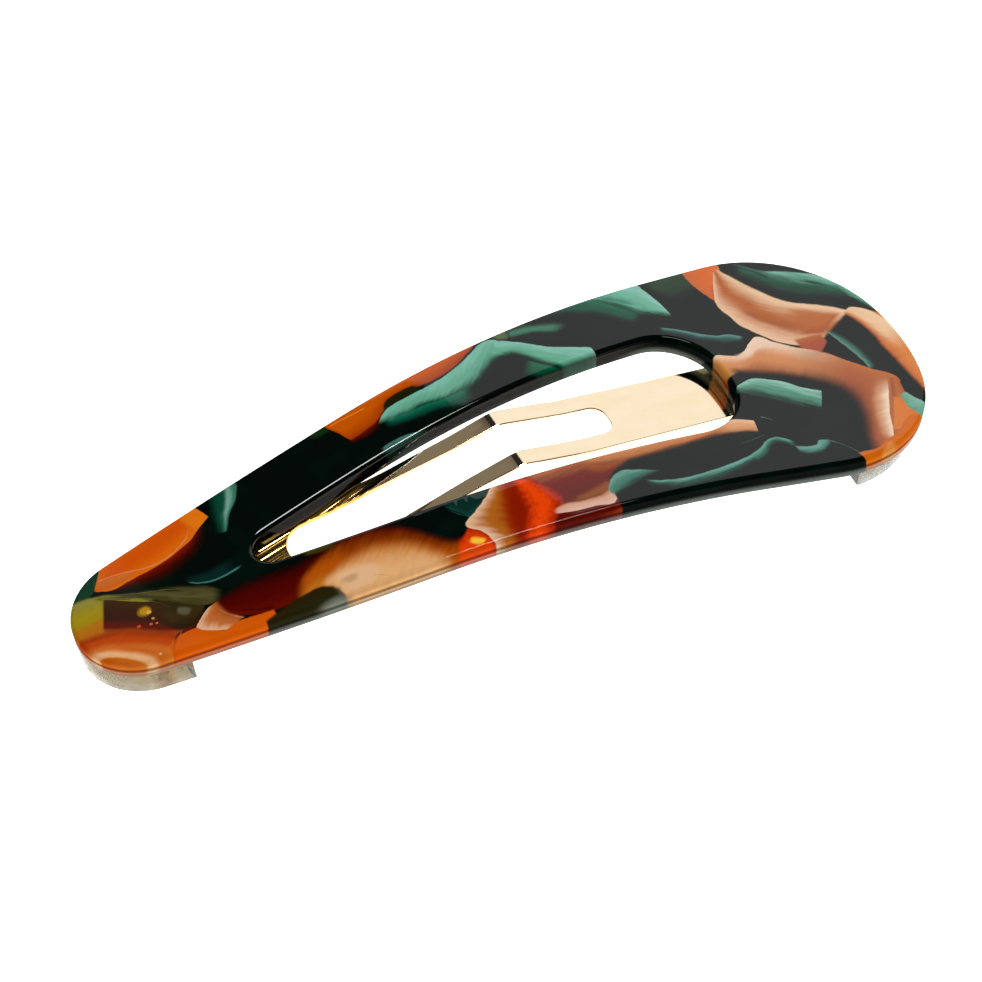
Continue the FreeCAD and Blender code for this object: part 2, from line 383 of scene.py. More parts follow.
def layFlake(desk, group, place, streaks, under, flake):
    # the flake's axis joins the middles of its sides' ends
    sideA, sideB, colors, blur = flake["a"], flake["b"], flake["colors"], flake["blur"]
    start, end = (sideA[0] + sideB[0]) / 2, (sideA[-1] + sideB[-1]) / 2
    axis = end - start
    left = Vector((-axis.y, axis.x)).normalized()
    local = lambda points: sorted(((p - start).dot(axis) / axis.length_squared, (p - start).dot(left))
                                  for p in points)
    lineA, lineB = local(sideA), local(sideB)
    if sum(v for u, v in lineA) / len(lineA) < sum(v for u, v in lineB) / len(lineB):
        lineA, lineB, colors = lineB, lineA, colors[::-1]
        blur = (blur[1], blur[0], blur[2], blur[3])
    turn = math.atan2(axis.y, axis.x)
    along = spread(desk, place, start - axis * flakeLead, turn, axis.length * flakeSpan)
    across = spread(desk, place, start - left * flakeReach / 2, turn + math.pi / 2, flakeReach)
    edges = [desk.curve(along, [((u + flakeLead) / flakeSpan, v / flakeReach + 0.5) for u, v in drawn],
                        clamped=True) for drawn in (lineA, lineB)]
    inputs = {"Under": under, "Along": along, "Across": across, "Edge A": edges[0], "Edge B": edges[1],
              "Blur A": blur[0], "Blur B": blur[1], "Blur Start": blur[2], "Blur End": blur[3],
              "Color A": hexColor(colors[0]), "Core Color": hexColor(colors[1]),
              "Color B": hexColor(colors[2]), "Streaks": streaks[flake["grain"]],
              "Streak Depth": flake["streak"], "Cover": flake["cover"]}
    return desk.add("ShaderNodeGroup", inputs, node_tree=group).outputs[0]


def inPairs(numbers):
    return list(zip(numbers[::2], numbers[1::2]))


def flake(a, b, colors, blur=(0.2, 0.2, 0.02, 0.02), streak=0.3, grain="long", cover=1.0):
    # sides a and b as x, y, x, y and so on; colors of side a, the core and side b, or one for all;
    # blur is how softly side a, side b, the start and the end fade
    colors = colors.split()
    return {"a": [Vector(point) for point in inPairs(a)], "b": [Vector(point) for point in inPairs(b)],
            "colors": colors * 3 if len(colors) == 1 else colors, "blur": blur, "streak": streak,
            "grain": grain, "cover": cover}


def line(points, width, color, cover=0.9):
    # a fine line in the sheet
    sideA, sideB = ([number for x, y in inPairs(points) for number in (x, y + half)]
                    for half in (width / 2, -width / 2))
    return flake(sideA, sideB, color, blur=(width * 0.45, width * 0.45, 0.08, 0.08), cover=cover)


def dot(x, y, radius, color):
    # a small round speck
    ring = [(x + radius * math.cos(math.radians(a)), y + radius * math.sin(math.radians(a)))
            for a in (180, 135, 90, 45, 0)]
    far = [number for point in ring for number in point]
    near = [number for px, py in ring for number in (px, 2 * y - py)]
    return flake(far, near, color, blur=(radius * 0.5, radius * 0.5, 0.1, 0.1))


acetate = {
    # the low edge colour is a painted pale floor reflection, screened over the lower part of the outer wall
    "base": "020a07", "cloud": "02110b", "roughness": 0.03, "ior": 1.49, "paintedFloorReflection": "48544c",
    "paintedFloorReflectionDepth": (0.95, 1.6), "cloudScale": 0.22, "wobbleScale": 0.9, "wobble": 0.16,
    "waveScale": 0.5, "waveStrength": 0.15, "waveHeight": 0.00003,
    # name, direction in degrees and how often the grain repeats along and across it
    "grains": (("long", 8, (0.18, 1.6, 0.3)), ("rise", 42, (0.3, 2.2, 0.3)),
               ("fall", -38, (0.3, 2.2, 0.3)), ("speck", 0, (2.2, 2.2, 2.2))),
    # painted shade bands and gloss against the depth below the face, on the outer wall and on the far
    # window wall
    "depthSpan": 2.0,
    "paintedWallShade": ((0.0, 1.0), (0.3, 0.85), (0.65, 1.0), (0.98, 0.3), (1.15, 0.4), (1.3, 0.8), (1.5, 0.35),
             (1.8, 0.7)),
    "gloss": ((0.0, 0.7), (0.015, 0.65), (0.07, 0.12), (0.5, 0.05), (1.0, 0.08), (1.3, 0.5), (1.9, 1.0)),
    "paintedWindowShade": ((0.0, 1.0), (0.15, 0.6), (0.4, 0.22), (1.2, 0.2), (1.9, 0.25)),
    "windowGloss": ((0.0, 0.7), (0.04, 0.7), (0.3, 0.6), (0.6, 0.3), (1.9, 0.4)),
}

# from the bottom layer to the top one, in millimetres as seen from above
acetate["flakes"] = [
    # narrow tip
    flake((-41.4, 4.2, -40, 6, -38, 7.2, -36, 7.6), (-41, 3.2, -39.5, 3.4, -38.2, 4.2, -36.4, 6.4),
        "0b3a26"),
    line((-38.9, 4.1, -38.7, 5, -38.2, 5.9), 0.25, "4a8a72", 0.6),
    flake((-43, 4.1, -40.5, 3.9, -38.3, 3.5, -36.5, 2.4, -34.5, 0.4, -33, -2, -32.6, -4.6), (-43, -9,
        -38, -9, -36.2, -8.6, -35.2, -7, -34.6, -6, -34, -5.2), "8a8a1e cc5a02 dc8634",
        blur=(0.4, 0.2, 0.01, 0.01), streak=0.15),
    flake((-42.8, 4.1, -40, 4, -38, 3.4), (-42.6, -0.3, -40.4, -0.5, -38.8, -0.4), "8e8a3c a48e0c bc6804",
        blur=(0.5, 1.1, 0.01, 0.08)),
    line((-39.2, 2.8, -39.7, 1.6, -39.9, 0.2, -39.6, -0.9), 0.3, "6a5208", 0.7),
    flake((-42.9, -0.1, -40.4, -0.3, -38.6, -0.8, -36.8, -1.9, -35, -3.3, -33.6, -4.4), (-42.6, -2.6,
        -40.6, -3, -38.8, -3.9, -37, -5.2, -35.4, -6.8, -34.8, -7.6), "7a0c00 c24400 e08434",
        blur=(0.9, 1, 0.05, 0.05)),
    flake((-42.6, -1.7, -41, -2.2, -39.2, -3, -37.8, -4.2, -36.6, -5.8, -36, -7.2), (-42.4, -3, -41, -3.5,
        -39.6, -4.4, -38.4, -5.6, -37.5, -6.8, -37.1, -7.6), "e08a42 f2ba86 eba868",
        blur=(0.9, 0.25, 0.02, 0.12)),
    flake((-42.3, -3.1, -41, -3.8, -39.8, -4.8, -38.7, -6.1, -38.2, -7.3), (-42.6, -4.5, -41.2, -5.6,
        -40, -6.6, -38.6, -7.8), "d8721e b44a04 e29a58", blur=(0.15, 0.2, 0.02, 0.1)),
    # a painted highlight line on the orange lens at the tip
    line((-41.2, -4.3, -40.6, -4.75, -39.9, -5.4), 0.3, "f6dcc0"),
    flake((-38.8, -7.2, -37.4, -7.1, -36.2, -7.4, -35.2, -7.9), (-39.2, -8.6, -37, -8.9, -35.4, -8.9),
        "8a9670 3c6a4a 2f5a3e"),
    flake((-38.9, 2.2, -38, 2.7, -36.8, 1.8, -35.2, 0.6, -33.5, -0.4, -31.6, -1.6, -30.6, -2.4),
        (-39.6, -1.1, -38.4, -1.9, -37.2, -2.6, -36.2, -3.4, -35, -4.4, -33.6, -5.2, -32, -4.8, -31, -3.8),
        "3a240c 38180a 7a0c00", blur=(0.12, 0.9, 0.03, 0.1)),
    flake((-34.6, 0.2, -33.2, -0.6, -31.6, -1.6, -30.2, -2.4), (-34.8, -3.4, -33.6, -4.6, -32.2, -4.7,
        -30.8, -3.8), "2c2810 3a2c10 241404", blur=(0.3, 0.4, 0.3, 0.1)),
    flake((-39.4, 4, -37.5, 3.1, -35.5, 2.2, -33.5, 1.4, -31.5, 0.5, -29.6, -0.7, -28, -2.4), (-38.8, 3,
        -37.2, 2, -35.5, 0.9, -34, -0.3, -32.6, -1.5, -31, -2.8, -29.4, -3.6), "26260c 56512c 463f1c",
        blur=(0.7, 0.15, 0.08, 0.1), streak=1.4, grain="fall"),
    line((-38.4, 3, -36.8, 2, -35.4, 1.1, -34.2, 0.2), 0.18, "8d835a", 0.7),
    line((-37.4, 2.9, -35.4, 1.8, -33.2, 0.8, -31.4, -0.2), 0.14, "7a744e", 0.6),
    line((-36.4, 1.6, -34.4, 0, -33.2, -1.6), 0.16, "6d6844", 0.6),
    flake((-33, -1.6, -32.3, -1.9, -31.6, -2.6), (-33.2, -2.6, -32.6, -3.3, -31.8, -3.2), "7d775a",
        blur=(0.4, 0.5, 0.2, 0.3), cover=0.45),
    dot(-35.55, -0.6, 0.78, "8a6410"), dot(-35.5, -0.6, 0.55, "c08a18"), dot(-35.25, -0.9, 0.26, "e0b43c"),
    dot(-36.65, -1.9, 0.22, "d8481c"), dot(-35.2, -1.8, 0.17, "e88a4c"), dot(-35.6, -2.3, 0.17, "d0602c"),
    dot(-35.1, -2.45, 0.14, "d87440"), dot(-36.3, -5.9, 0.15, "ecac7c"),
    flake((-37.6, 3.6, -34, 3.6, -31, 4, -28, 5, -26.6, 6.2), (-37.2, 2.6, -34, 1.6, -31.5, 1.4, -28.6, 2.4,
        -26.2, 4.4), "7a1400 3c0600 0a0100", blur=(0.1, 1.8, 0.1, 0.3)),
    flake((-38.5, 4.1, -37.4, 5.7, -36.2, 7.2, -33, 8.2, -29.5, 8.9, -26.6, 9.4), (-38.3, 3.9, -37, 3.3,
        -35, 3.4, -33, 3.5, -31, 3.8, -29, 4.4, -27.5, 5.3, -26.5, 6), "dc6818 da5404 e66e0c",
        blur=(0.1, 0.12, 0.01, 0.01), streak=0.2),
    flake((-28.8, 8.9, -26.6, 9.4), (-28.4, 4.9, -26.5, 6), "ea7a12", blur=(0.1, 0.15, 0.35, 0.03)),
    flake((-38.3, 4.9, -36.6, 4.9, -35, 4.5, -33.4, 4.1), (-38.2, 3.9, -36.8, 3.5, -35, 3.6, -33.2, 3.7),
        "d87a34 cc702c c45a14", blur=(0.3, 0.3, 0.05, 0.5), cover=0.7),
    line((-38.2, 4.95, -36.6, 4.9, -35, 4.5, -33.5, 4.05, -31.5, 3.95, -29.8, 4.5, -28.4, 5.6, -28, 7),
        0.22, "eaa678", 0.5),
    # narrow end, far side
    flake((-25.2, 3.8, -24.2, 5.4, -22.9, 6.8, -22.3, 8, -22, 9.8), (-26.4, 3.8, -26.2, 6, -25.8, 7.6,
        -25.4, 9.8), "3c7a66 0a4632 031a12", blur=(0.25, 1.2, 0.02, 0.02), streak=0.5, grain="rise"),
    flake((-25.3, 3.8, -24.5, 5.2, -23.3, 6.6, -22.7, 7.8, -22.4, 9.6), (-25.5, 4, -25, 5.6, -24.3, 7,
        -23.8, 8.2, -23.6, 9.6), "4d8874 7fb09e 1a6a50", blur=(0.3, 0.5, 0.03, 0.3), grain="rise",
        cover=0.85),
    flake((-31.5, 1.5, -29, 0.8, -26, 1), (-30.9, 0.2, -28.8, -0.8, -25.9, -0.7), "0a2c26",
        blur=(0.9, 0.2, 0.2, 0.3), cover=0.8),
    flake((-30.8, 0.5, -30, -0.2, -28.8, -0.65, -27.3, -0.7, -25.7, -0.45), (-30.9, 0.1, -30, -0.55,
        -28.8, -1, -27.2, -1.1, -25.9, -0.9), "0d4a44 3f8078 0a3a34", blur=(0.15, 0.15, 0.1, 0.15)),
    # near bar, narrow half
    flake((-29.6, -2.6, -28, -2.2, -25, -2.2, -22, -2.6, -19, -2.4, -16, -2.4), (-29.8, -3.6, -29.2, -5.4,
        -28.2, -6.2, -25, -7.4, -22, -7.4, -19, -7.2, -16, -7), "0a0100 4e0300 640c02",
        blur=(1.6, 0.3, 0.02, 0.1)),
    line((-29.3, -4.3, -28, -5.5, -26.5, -6.3, -25.2, -6.9), 0.35, "300200", 0.7),
    flake((-35.2, -5.4, -34.2, -4.9, -32.2, -4.9, -31.2, -5.8, -29, -6.3, -27, -6.7, -25, -7.1),
        (-35.8, -9.4, -32, -9.4, -29, -9.6, -26.2, -9.8), "d85a06 e26004 d85a06",
        blur=(0.15, 0.1, 0.01, 0.02), streak=0.15),
    line((-33.6, -4.5, -34.5, -5.2, -35, -6, -35.4, -7, -36.2, -7.7), 0.6, "2c1602", 0.9),
    flake((-29.3, -3.3, -29.1, -4.6, -28.5, -5.6, -27.6, -6.6), (-30.3, -3.3, -31.5, -4.2, -32.3, -5,
        -31.6, -5.9, -30.4, -6.6), "a8501c c46c30 ecb890", blur=(0.5, 0.12, 0.02, 0.08), streak=0.5,
        grain="rise"),
    line((-29.9, -3.6, -29.5, -4.7, -28.9, -5.6, -28.2, -6.4), 0.35, "e6ac84", 0.7),
    flake((-26.6, -7.6, -24.6, -7.2, -22.8, -6.8, -21.2, -6.8, -19, -7.6), (-27, -9.9, -23, -10.6, -19, -11,
        -18, -10.4), "2a1e06 24240c 3a3c30", blur=(0.4, 0.2, 0.02, 0.15)),
    flake((-23.5, -5.8, -21.5, -4.4, -19, -3.2, -16.5, -2.7, -14.2, -3, -12.2, -4, -10.6, -5.6, -9.4, -7.2,
        -8.4, -8.4, -7.2, -8.9, -6.2, -11.4), (-23, -7.2, -20.8, -7.2, -19.6, -8, -19.4, -9.6, -18.5, -11.5,
        -14, -12.8, -6.6, -13.6), "560a00 b85406 c4761c", blur=(1.2, 0.3, 0.08, 0.01), streak=0.25,
        grain="rise"),
    flake((-21, -6.2, -19.4, -5.6, -17.6, -4.9, -15.8, -4.7, -14, -4.9, -12.2, -5.8, -10.9, -7, -9.9, -8.5,
        -9.2, -10, -8.6, -12), (-20.8, -7.2, -19.8, -8.2, -19.4, -9.6, -18.5, -11.5, -14, -12.8,
        -9.2, -13.4), "cc7a2a ecb47a e2a868", blur=(2, 0.6, 0.06, 0.1), streak=0.4, grain="rise"),
    flake((-20.4, -6.8, -18.2, -6.2, -16.2, -6.6, -14.8, -7.6), (-19.8, -9.4, -18, -9.6, -16, -9.2,
        -14.6, -8.8), "eec096", blur=(0.8, 0.8, 0.3, 0.3), streak=0.4, grain="rise", cover=0.7),
    flake((-19.6, -7.2, -18.3, -7, -16.9, -7.3), (-19.4, -8, -18.2, -8.3, -17, -7.9), "8a6a40",
        blur=(0.5, 0.5, 0.4, 0.4), cover=0.4),
    line((-14.6, -6.4, -13.6, -7.4, -13, -8.6, -12.9, -9.8), 0.3, "c88a4c", 0.5),
    line((-12.6, -7.2, -11.8, -8.4, -11.4, -9.8), 0.25, "d09858", 0.5),
    line((-16.4, -8.4, -15.2, -9.3, -14.6, -10.5), 0.25, "cc9152", 0.5),
    flake((-21, -2.4, -19, -2.4, -17.5, -2.9), (-20.5, -3.1, -19, -3.5, -17.4, -3.6), "3c3408",
        blur=(0.3, 0.3, 0.2, 0.2)),
    flake((-22.4, -8.6, -20, -8.6, -18.4, -9.4), (-23, -10.9, -20, -11.4, -17.6, -11.6),
        "7d8272 8f9388 6a705c", blur=(0.7, 0.2, 0.3, 0.3), cover=0.9),
    flake((-8.9, -9, -7.4, -8.7, -6.5, -8, -6, -8.4, -5.4, -9.9, -5, -11.4), (-9, -12, -7.2, -12.2,
        -6, -12.8, -5, -13), "b82404 ec4406 d0500e", blur=(0.7, 0.3, 0.12, 0.05), streak=0.5,
        grain="speck"),
    flake((-7.6, -9.7, -6.8, -9.3, -6.1, -9.8, -5.7, -10.2), (-7.4, -10.2, -6.6, -10.9, -5.8, -10.6),
        "ff8c10 ffd040 ff8c10", blur=(0.4, 0.4, 0.3, 0.3), streak=0.1, grain="speck"),
    flake((-7.8, -4.2, -5.5, -4.6, -2.6, -4.9), (-7.4, -5.2, -6.4, -6.6, -6, -7.4, -4.6, -6.8, -2.9, -5.5),
        "08302a 0a2c26 0e403a", blur=(0.3, 0.1, 0.1, 0.05)),
    line((-7.4, -5.3, -6.6, -6.5, -6, -7.3), 0.25, "2f6a60", 0.7),
    flake((2, -4.6, 1.6, -5.8, 1.2, -7, 0.6, -8.6, 0, -10.2, -0.6, -13), (-2, -4.7, -3, -5.5, -4, -7,
        -4.4, -9, -4.6, -10.8, -4.6, -13), "5c0800 8a1800 a03402", blur=(0.2, 0.2, 0.02, 0.02)),
    flake((-0.6, -4.7, -1.4, -5.8, -1.9, -7.2, -2.3, -8.8, -2.8, -10.4, -2.6, -13), (-2.7, -4.7, -3.7, -5.7,
        -5.3, -6.8, -6.8, -7.9, -5.9, -9.3, -5.5, -10.8, -5.2, -13), "9a2c04 b4641a ecc09c",
        blur=(1.4, 0.15, 0.02, 0.02), streak=0.5, grain="fall"),
    # near bar, middle
    flake((0.6, -4.6, 3, -4.8, 5, -5, 6.8, -5.4, 9, -6.2, 10.2, -7.2), (0.6, -10.4, 3.5, -10.2, 5.2, -10.2,
        6.6, -10.2, 7.4, -8.9, 8.8, -8, 10, -7.6), "bc6a38 701202 641404", blur=(0.1, 0.3, 0.02, 0.12),
        streak=0.4),
    flake((4.8, -5.4, 7, -5.7, 9.2, -6.4, 10.6, -7.3), (5.4, -7.6, 7, -8.4, 8.6, -8.3, 10.2, -7.7),
        "b8661c a4540f 8a3c0a", blur=(0.9, 1.1, 0.3, 0.2), cover=0.75),
    flake((-0.8, -10, 2, -10, 4, -9.8, 6.7, -9.8), (-0.8, -13.6, 2, -13.6, 4, -14, 6.7, -14.6), "5c0a00",
        blur=(0.2, 0.2, 0.1, 0.01)),
    flake((0.8, -5.2, 1.5, -6.6, 2.2, -8, 2.5, -9.4, 1.8, -10.6, 0.6, -11.8, 0, -13), (-1.3, -5.2,
        -1.3, -6.4, -1.5, -8.2, -2.2, -10, -3, -11.6, -3.2, -13), "901000 f04606 a82004",
        blur=(0.45, 1, 0.05, 0.05), streak=0.45, grain="speck"),
    flake((2.2, -9.6, 4.5, -9.3, 6.4, -8.9, 7.2, -8.6), (2.6, -10.6, 4.5, -10.7, 6.8, -10.8),
        "8a4410 a85e20 a05814", blur=(0.7, 0.5, 0.4, 0.05), cover=0.6),
    flake((0.5, -10.3, 2, -9.9, 3.8, -10.3, 5.4, -10.4, 6.7, -10), (0.9, -10.9, 2.5, -11.3, 4.5, -11.7,
        6, -12, 6.8, -11.6), "b87840 dca890 e4b8a4", blur=(0.35, 0.12, 0.1, 0.01), streak=0.6),
    flake((-7, -11.4, -3, -12, 0, -12.1, 3.2, -12.3, 6.7, -12.5), (-7, -14, 0, -14.5, 6.6, -15),
        "c84e04 d45a08 c84e04", blur=(0.3, 0.1, 0.05, 0.01), cover=0.9),
    # near bar, wide half
    flake((6.6, -9.9, 7.2, -9.1, 8.4, -8.5, 9.8, -8.9, 11.6, -9.7, 12.4, -9.8), (6.3, -11.6, 7.4, -11.2,
        9, -10.7, 10.6, -10.3, 12.4, -10), "6aa08e 3a7a68 12362c", blur=(0.2, 0.9, 0.02, 0.15), streak=0.5),
    flake((9.8, -10.2, 11, -10.9, 12.6, -11.4, 14.2, -11.6, 16, -11.6, 18, -11.4, 20, -11, 21.6, -10.5),
        (10, -11.4, 11.4, -12.3, 13, -13, 15, -13.2, 17, -13, 19, -12.6, 21, -11.9), "6eae9c 1e5444 06201a",
        blur=(0.2, 1.1, 0.1, 0.05), streak=0.5),
    flake((20.4, -10.9, 21.8, -10.3, 22.8, -9.55, 23.7, -9.35, 24.7, -9.8, 25.6, -10.8), (20.6, -12.2,
        22, -11.6, 22.9, -10.7, 23.7, -10.3, 24.4, -10.7, 25.1, -11.5), "66a894 22604e 06201a",
        blur=(0.2, 0.8, 0.1, 0.1)),
    flake((24.9, -10.9, 26, -11.3, 27, -11.4, 27.6, -10.9, 28.6, -11.1), (25.1, -12.2, 26.2, -12.7,
        27.2, -12.7, 28.1, -12.1, 28.7, -11.5), "74ae9c 4a8474 0c3428", blur=(0.25, 0.9, 0.08, 0.1),
        streak=0.6),
    line((28.2, -11.1, 29.1, -11.8, 29.9, -12.8, 30.5, -13.6), 0.28, "5f857a", 0.6),
    flake((4.5, -4.6, 8, -5.2, 12, -5.9, 16, -6.2, 20, -5.9, 22, -6.4, 23.3, -6.8), (5.5, -6.6, 8, -7.6,
        10, -7.9, 12, -8, 14, -8, 17, -7.9, 19.5, -7.9, 21.5, -8.2, 22.4, -8.3), "e6b080 c87a42 6a3010",
        blur=(0.1, 0.8, 0.1, 0.01), streak=0.25),
    flake((18.6, -6, 21, -5.9, 23.3, -6.8), (18.8, -7.6, 21.2, -7.9, 22.5, -8.3), "ecc09a dda070 b87446",
        blur=(0.2, 0.4, 0.5, 0.01)),
    line((23.8, -6.5, 24.2, -6.7, 24.7, -7.2), 0.22, "7c8886", 0.6),
    line((20.4, -9.3, 21.8, -9.1, 23.2, -8.8), 0.15, "4f5a58", 0.5),
    # far bar
    flake((-15.2, 11, -13, 11.4, -11.6, 11.6), (-15, 9.4, -13.4, 8.8, -12.2, 9), "14300f",
        blur=(0.2, 0.8, 0.4, 0.1)),
    flake((-11.6, 7.8, -9.5, 7.7, -7.4, 8.6), (-11.2, 6.4, -9.4, 6.4, -7.3, 7.5), "6a1004 500a02 200400",
        blur=(0.2, 0.8, 0.05, 0.1)),
    flake((-12.7, 10.4, -10, 11.2, -6, 12, -2.9, 12.6, 0, 13.1, 4.8, 13.6), (-12.5, 9.6, -11.8, 8.4, -11, 7,
        -9.5, 7.3, -8.3, 7.7, -7, 8.7, -6.2, 9.4, -5, 9.6, -3, 9.6, -1.5, 9.6, 0, 9.9, 1.5, 10.5, 2.8, 11.3,
        4.4, 12.3), "c65a08 cc5800 a83c00", blur=(0.1, 0.25, 0.01, 0.03), streak=0.2),
    flake((-7.2, 9, -6.2, 9.9, -4.6, 10.2, -2.8, 10.1), (-7, 8.2, -5.6, 8.6, -4, 8.8, -2.8, 9.2),
        "261e04 1c1c06 1c1c06", blur=(0.2, 0.2, 0.1, 0.2)),
    line((-12.3, 9.7, -10.4, 9.85, -8.4, 9.9), 0.3, "f28c24", 0.7),
    flake((-8.4, 7.8, -6, 7.4, -3.5, 7.4, -2, 7.2, 0.8, 7.4), (-7.4, 6.2, -5, 5.8, -3, 5.8, -1, 5.2,
        1.4, 5.4), "0c7052 084a38 04180f", blur=(0.2, 1, 0.1, 0.15)),
    flake((7, 8.4, 8.4, 7, 9.6, 6), (5.6, 6.2, 7.6, 5, 9.5, 4.2), "066a4a 05523a 04241a",
        blur=(0.3, 0.9, 0.3, 0.1)),
    flake((6.8, 12.6, 9, 12.5, 11, 12, 13, 11.4), (7, 11.1, 9, 10.9, 11, 10.2, 12.6, 10.4),
        "2c5a40 3c7a60 0e3426", blur=(0.8, 0.6, 0.1, 0.3)),
    flake((-8.3, 7.5, -7.4, 8.4, -6.6, 8.85, -5.5, 9, -4, 9.2, -2, 9.4, 0, 9.9, 1.5, 10.5, 3, 11.3, 4.4, 12,
        5.4, 11.95, 6.2, 11.4), (-8.3, 7.3, -6.5, 6.9, -5, 6.9, -3.5, 7, -2, 6.7, 0, 6.8, 1.6, 7.2, 3, 8,
        4.2, 8.9, 5.2, 9.3, 6.2, 9.2), "7abfa8 64aa8e 0a6448", blur=(0.15, 1.2, 0.02, 0.02), streak=0.5,
        grain="rise"),
    flake((4.8, 12, 6.2, 11.4, 7.8, 10.4, 9.2, 9.3, 10.6, 8.5, 12, 7.9, 13.3, 7.3, 13.4, 6.5), (5, 9.4,
        6.3, 9.2, 7.3, 8.1, 8.3, 6.8, 9.4, 5.6, 9.6, 4, 12.4, 4), "86c2b0 62ac90 14805c",
        blur=(0.15, 1, 0.02, 0.01), streak=0.5, grain="fall"),
    flake((5.4, 13.4, 6.4, 13.4, 7.4, 13.4), (5.7, 11.6, 6.6, 11.2, 7.2, 11.4), "5a7040",
        blur=(0.2, 0.5, 0.3, 0.3), cover=0.8),
    flake((-9.3, 4.7, -8, 4.95, -6.5, 4.9, -5, 4.7, -3.6, 4.6), (-9.4, 3, -8, 2.8, -6.2, 3.7, -5, 4.1,
        -3.6, 4.5), "4c8070 24564a 16382e", blur=(0.2, 0.3, 0.1, 0.4), streak=0.8, grain="rise"),
    flake((10, 14, 13, 14.2, 15.5, 13.8, 17, 12.8, 18.6, 11.3, 19.8, 10.1), (10.5, 12.3, 13, 12, 15, 11.2,
        16.8, 10, 18, 8.9, 19.6, 8.6), "0a6a4c 06503a 04241a", blur=(0.5, 1.2, 0.15, 0.1)),
    flake((14.6, 14.2, 17, 15, 20.8, 15.2, 21.6, 13, 22.2, 11, 22.6, 8.6), (15.2, 13.4, 17, 12.1,
        18.3, 10.9, 19.4, 9.9, 20.6, 9.4, 22.3, 8.6), "90c6b8 6cb29a 0c6a4c", blur=(0.2, 1, 0.1, 0.04),
        streak=0.6, grain="fall"),
    flake((21.4, 15, 24, 15.4, 26.6, 15.4), (22.3, 11.6, 24, 10.4, 26.6, 11), "2a4828 1c3820 0a1a10",
        blur=(0.5, 1.8, 0.2, 0.05)),
    flake((20.2, 7.9, 22, 7, 23.5, 5.95, 25, 5.15, 26.6, 4.8, 27.5, 4.2), (20.4, 6.6, 22, 5.7, 23.4, 4.6,
        25, 3.8, 26.4, 3.4, 27.3, 3.3), "5a8f82 24504a 0a201a", blur=(0.12, 1, 0.1, 0.05)),
    # wide end, greens
    flake((31, 13.9, 32.8, 12.4, 33.8, 11.2, 35.2, 10.4, 37, 9.6, 38.6, 8.6, 40.4, 7.6), (30.8, 12,
        32.4, 10, 33.6, 8.6, 35, 7.6, 37, 7, 38.6, 6.2, 40, 5.4), "0c5a40 0a3c2a 04140e",
        blur=(0.2, 1.4, 0.1, 0.1)),
    flake((30.4, 15.6, 33, 15.2, 35.5, 14.4, 37.5, 13.2, 39.5, 11.6), (31, 14.4, 33.4, 13.5, 35.4, 12.7,
        37.4, 11.7, 39, 10.4), "4f8a74 4d8c72 1c5240", blur=(0.3, 0.5, 0.05, 0.1), streak=0.7,
        grain="fall"),
    flake((31, 14.5, 32.6, 13.2, 33.6, 12.4, 35.2, 11.8, 37, 11.1, 38.8, 10.1, 40.6, 8.4), (31.2, 13.6,
        32.8, 12, 33.8, 10.7, 35.2, 9.7, 37, 8.8, 38.6, 7.8, 40.2, 6.8), "7ab09c 5c9c84 0c4a34",
        blur=(0.3, 1.3, 0.1, 0.05), streak=1.2, grain="fall"),
    flake((39.6, 9.6, 41.3, 7, 42.4, 4.4, 42.8, 2.9), (39.4, 7.6, 40, 6, 40.8, 4.7, 41.6, 3.5),
        "6aa88e 5a9c80 1a5c42", blur=(0.2, 0.5, 0.05, 0.05), streak=0.8, grain="fall"),
    # wide end, oranges
    flake((30.1, 15.4, 30, 13.9, 29.5, 12.7, 28.9, 11.3, 28.4, 10.1, 27.9, 9.3), (26.1, 15.4, 26.2, 13,
        26.5, 11.6, 27, 10.2, 27.4, 9.2), "d86e34 da6420 c8642c", blur=(0.1, 0.12, 0.01, 0.1), streak=0.3),
    flake((29.2, 11.8, 28.6, 10.6, 28, 9.4), (27.4, 11.4, 27.2, 10.4, 27.4, 9.3), "a2503c",
        blur=(0.2, 0.9, 0.4, 0.05), cover=0.8),
    flake((29.6, 13.9, 30.6, 12.2, 31.6, 10.5, 32.8, 8.8, 34, 7.6, 35.5, 6.8, 37, 6.1, 38.9, 4.9),
        (28.9, 13, 27.8, 10.7, 27.2, 9, 27.6, 7, 28.2, 5.2, 29.2, 3.8, 30.4, 2.4, 32.2, 1.4, 34.4, 0.9),
        "f0c8a0 b65e20 ecc09c", blur=(0.3, 0.2, 0.01, 0.03), streak=0.25, grain="fall"),
    flake((28.9, 9.8, 29.9, 8, 31.2, 6.4, 32.8, 5.2, 34.6, 4.4), (28.5, 8, 29.3, 6.2, 30.6, 4.6, 32, 3.2,
        33.6, 2.4), "b05c24 a2521e b46430", blur=(0.8, 0.7, 0.3, 0.2), cover=0.8),
    flake((33.5, 7, 35.4, 6.2, 37.2, 5.2, 38.6, 4.7), (31.6, 3.6, 33, 2.6, 35, 2.4, 36.6, 3.6, 37.8, 4.3),
        "c07440 ba6630 a85020", blur=(0.8, 0.4, 0.3, 0.05)),
    flake((31.8, 2.6, 33.5, 2.6, 35.1, 2.6), (31.8, 0.6, 33.4, 0, 34.8, 1), "b8652c aa4e2c a44a30",
        blur=(0.4, 0.3, 0.15, 0.1)),
    flake((39.4, 5.2, 40.7, 4.4, 42, 3, 42.8, 0, 42.8, -4, 42, -8.4), (38.2, 4.3, 38.9, 2.8, 39.3, 1,
        39.4, -1, 39.7, -3, 39.9, -5, 40.2, -7.2, 40.4, -8.4), "cc6c2a dc8038 c86428",
        blur=(0.2, 0.6, 0.02, 0.05)),
    flake((38.4, 5.2, 39.8, 5, 41.4, 3.4, 42.3, 1.2, 42.5, -1.5), (38.2, 4.2, 38.9, 2.8, 39.4, 1,
